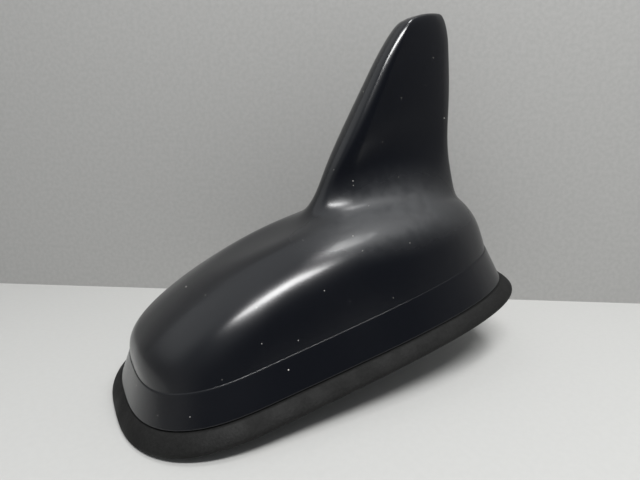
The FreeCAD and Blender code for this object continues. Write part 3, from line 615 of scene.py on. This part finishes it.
class ANTENNA_OT_thread(bpy.types.Operator):
    """Thread round the fixing stem, as one winding ridge"""
    bl_idname = "antenna.thread"
    bl_label = "Stem thread"

    def execute(self, context):
        form = context.scene.antenna_thread
        drop = -PLATE_LOW.z - form.top - form.runout
        count = int(drop / form.pitch * form.segments)
        rows = []
        for k in range(count + 1):
            angle = 2 * math.pi * k / form.segments
            swell = min(1, 3 * k / form.segments, 3 * (count - k) / form.segments)
            section = ((-form.root, form.foot), (form.depth * swell, form.crest),
                       (form.depth * swell, -form.crest), (-form.root, -form.foot))
            height = -form.top - form.pitch * k / form.segments
            across, aside = math.cos(angle), math.sin(angle)
            rows.append(np.array([((STEM_RADIUS + out) * across, (STEM_RADIUS + out) * aside, height + up)
                                  for out, up in section]))
        piece = tube_mesh("stem_thread", rows, False)
        piece.data.materials.append(die_cast())
        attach(piece, "root")
        return {"FINISHED"}


class ANTENNA_OT_inner(bpy.types.Operator):
    """Finishes of the base and of the pieces inside"""
    bl_idname = "antenna.inner"
    bl_label = "Base and inner pieces"

    def execute(self, context):
        finishes = {"base_plate": die_cast()}
        for name, (shade, metal, rough, grain, nodes) in INNER_FINISHES.items():
            material = worked(name, shade, metal, rough, grain)
            finishes.update({node: material for node in nodes})
        for node, material in finishes.items():
            data = frame["nodes"][node].data
            data.materials.clear()
            data.materials.append(material)
        return {"FINISHED"}


def floor_tilt():
    """Slope of the floor under the antenna, which stands on its nose and on the stem's end."""
    return math.atan2(-PLATE_LOW.z, -GASKET_LOW.x - STEM_RADIUS)


def backdrop_paper(name, shade, grain_shade, reach):
    """Plain, finely grained paper that fades out with distance and is open from behind."""
    finish = Finish(name)
    grain = finish.ranged(finish.noise(650, 3), 0.3, 0.7)
    base = finish.blend(grain, shade, [c * grain_shade for c in shade])
    finish.link(base, finish.shader.inputs["Base Color"])
    finish.shader.inputs["Roughness"].default_value = 0.8
    size = finish.add("ShaderNodeVectorMath", operation="LENGTH")
    finish.link(finish.place, size.inputs[0])
    fade = finish.ranged(size.outputs["Value"], reach * 0.45, reach)
    behind = finish.add("ShaderNodeNewGeometry").outputs["Backfacing"]
    clear = finish.add("ShaderNodeBsdfTransparent")
    mix = finish.add("ShaderNodeMixShader")
    finish.link(finish.maths("MAXIMUM", fade, behind), mix.inputs["Fac"])
    finish.link(finish.shader.outputs["BSDF"], mix.inputs[1])
    finish.link(clear.outputs["BSDF"], mix.inputs[2])
    finish.link(mix.outputs["Shader"], finish.tree.nodes["Material Output"].inputs["Surface"])
    return finish.material


def soft_world():
    """Even light for the object, and the plain backdrop for what looks past it."""
    world = bpy.data.worlds.new("studio")
    world.use_nodes = True
    tree = world.node_tree
    light = tree.nodes["Background"]
    light.inputs["Color"].default_value = (0.85, 0.88, 0.92, 1)
    light.inputs["Strength"].default_value = 0.32
    tint = bpy.context.scene.antenna_finishes
    split = tree.nodes.new("ShaderNodeSeparateXYZ")
    tree.links.new(tree.nodes.new("ShaderNodeTexCoord").outputs["Generated"], split.inputs["Vector"])

    def rising(axis, start, end):
        node = tree.nodes.new("ShaderNodeMapRange")
        node.interpolation_type = "SMOOTHSTEP"
        node.inputs["From Min"].default_value = start
        node.inputs["From Max"].default_value = end
        tree.links.new(split.outputs[axis], node.inputs["Value"])
        return node.outputs["Result"]

    def mixed(share, low, high):
        node = tree.nodes.new("ShaderNodeMix")
        node.data_type = "RGBA"
        tree.links.new(share, node.inputs["Factor"])
        for socket, value in ((node.inputs["A"], low), (node.inputs["B"], high)):
            if hasattr(value, "is_output"):
                tree.links.new(value, socket)
            else:
                socket.default_value = (*value, 1)
        return node.outputs["Result"]

    above = mixed(rising("Y", -0.40, 0.15), tint.ceiling, tint.glow)
    around = mixed(rising("Y", -0.85, -0.25), tint.near_side, tint.backdrop)
    shade = mixed(rising("Z", 0.36, 0.75), around, above)
    seen = tree.nodes.new("ShaderNodeBackground")
    tree.links.new(shade, seen.inputs["Color"])
    path = tree.nodes.new("ShaderNodeLightPath")
    looks = path.outputs["Is Camera Ray"]
    for kind in ("Is Glossy Ray", "Is Transmission Ray"):
        either = tree.nodes.new("ShaderNodeMath")
        either.operation = "MAXIMUM"
        tree.links.new(looks, either.inputs[0])
        tree.links.new(path.outputs[kind], either.inputs[1])
        looks = either.outputs["Value"]
    mix = tree.nodes.new("ShaderNodeMixShader")
    tree.links.new(looks, mix.inputs["Fac"])
    tree.links.new(light.outputs["Background"], mix.inputs[1])
    tree.links.new(seen.outputs["Background"], mix.inputs[2])
    tree.links.new(mix.outputs["Shader"], tree.nodes["World Output"].inputs["Surface"])
    bpy.context.scene.world = world


def soft_box(name, start, end, width, watts):
    """Elliptical lamp between two places, turned to the antenna."""
    start, end = Vector(start), Vector(end)
    place = (start + end) / 2
    back = (place - (CAD_BOX[0] + CAD_BOX[1]) / 2).normalized()
    along = (end - start).normalized()
    along = (along - back * along.dot(back)).normalized()
    lamp = bpy.data.lights.new(name, "AREA")
    lamp.shape = "ELLIPSE"
    lamp.size, lamp.size_y, lamp.energy = (end - start).length, width, watts
    item = bpy.data.objects.new(name, lamp)
    axes = Matrix((along, back.cross(along), back)).transposed().to_4x4()
    item.matrix_world = Matrix.Translation(place) @ axes
    bpy.context.collection.objects.link(item)


class ANTENNA_OT_stage(bpy.types.Operator):
    """Floor, wall, light and camera"""
    bl_idname = "antenna.stage"
    bl_label = "Stage"

    def execute(self, context):
        stage = context.scene.antenna_stage
        tint = context.scene.antenna_finishes
        tilt = floor_tilt()
        ground = Matrix.Translation((GASKET_LOW.x, 0, GASKET_LOW.z)) @ Matrix.Rotation(tilt, 4, "Y")
        reach = stage.floor_radius
        floor = flat_mesh("floor", Ring(-reach, reach, reach, 0, 2, 2, 0, (0, 0, 0)).points(96))
        floor.data.materials.append(backdrop_paper("floor_paper", tint.floor, 0.98, reach))
        top = stage.wall_height
        corners = ((-reach, 0, 0), (reach, 0, 0), (reach, 0, top), (-reach, 0, top))
        wall = flat_mesh("wall", np.array(corners))
        wall.data.materials.append(backdrop_paper("wall_paper", tint.wall, 0.92, reach))
        turn = Matrix.Rotation(math.radians(stage.wall_turn), 4, "Z")
        floor.matrix_world = ground
        wall.matrix_world = ground @ turn @ Matrix.Translation((0, stage.wall_distance, 0))
        soft_world()
        soft_box("ceiling_light", (0.14, -0.10, 0.50), (0.28, -0.14, 0.48), 0.12, 0.7)
        soft_box("strip_light", (-0.19, -0.21, 0.55), (0.16, -0.33, 0.43), 0.09, 2.8)
        self.place_camera(context, tilt)
        context.scene.view_settings.view_transform = "Standard"
        return {"FINISHED"}

    def place_camera(self, context, tilt):
        """Camera that sees the base's centre where the photograph has it."""
        stage = context.scene.antenna_stage
        azimuth, elevation = math.radians(stage.azimuth), math.radians(stage.elevation)
        back = Vector((math.sin(azimuth) * math.cos(elevation), -math.cos(azimuth) * math.cos(elevation),
                       math.sin(elevation)))
        right = Vector((math.cos(azimuth), math.sin(azimuth), 0))
        up = back.cross(right)
        centre = Vector(((GASKET_LOW.x + GASKET_HIGH.x) / 2, 0, 0))
        unlean = Matrix.Rotation(tilt, 3, "Y")
        right, up, back = (unlean @ axis for axis in (right, up, back))
        place = centre - right * stage.aside + up * stage.below + back * stage.distance
        data = bpy.data.cameras.new("camera")
        data.sensor_width = 36.0
        data.lens = data.sensor_width * stage.focal_pixels
        data.clip_start, data.clip_end = 0.005, 20.0
        camera = bpy.data.objects.new("camera", data)
        axes = Matrix((right, up, back)).transposed().to_4x4()
        camera.matrix_world = Matrix.Translation(place) @ axes
        context.collection.objects.link(camera)
        context.scene.camera = camera


class ANTENNA_PT_panel(bpy.types.Panel):
    """Steps that dress the antenna"""
    bl_idname = "ANTENNA_PT_panel"
    bl_label = "Roof antenna"
    bl_space_type = "VIEW_3D"
    bl_region_type = "UI"
    bl_category = "Antenna"

    def draw(self, context):
        for operator in OPERATORS:
            self.layout.operator(operator.bl_idname)
        for name in GROUPS:
            group = getattr(context.scene, name)
            box = self.layout.box()
            for key in group.bl_rna.properties.keys():
                if key not in ("rna_type", "name"):
                    box.prop(group, key)


GROUPS = {
    "antenna_outline": OutlineShape,
    "antenna_gasket": GasketShape,
    "antenna_thread": ThreadShape,
    "antenna_housing": HousingShape,
    "antenna_finishes": Finishes,
    "antenna_stage": StageSettings,
}
OPERATORS = (ANTENNA_OT_housing, ANTENNA_OT_gasket, ANTENNA_OT_thread, ANTENNA_OT_inner, ANTENNA_OT_stage)


def register():
    for cls in (*GROUPS.values(), *OPERATORS, ANTENNA_PT_panel):
        bpy.utils.register_class(cls)
    for name, cls in GROUPS.items():
        setattr(bpy.types.Scene, name, PointerProperty(type=cls))


def unregister():
    for name in GROUPS:
        delattr(bpy.types.Scene, name)
    for cls in (ANTENNA_PT_panel, *reversed(OPERATORS), *reversed(GROUPS.values())):
        bpy.utils.unregister_class(cls)


def main():
    register()
    bpy.ops.antenna.housing()
    bpy.ops.antenna.gasket()
    bpy.ops.antenna.thread()
    bpy.ops.antenna.inner()
    bpy.ops.antenna.stage()


if __name__ == "__main__":
    main()
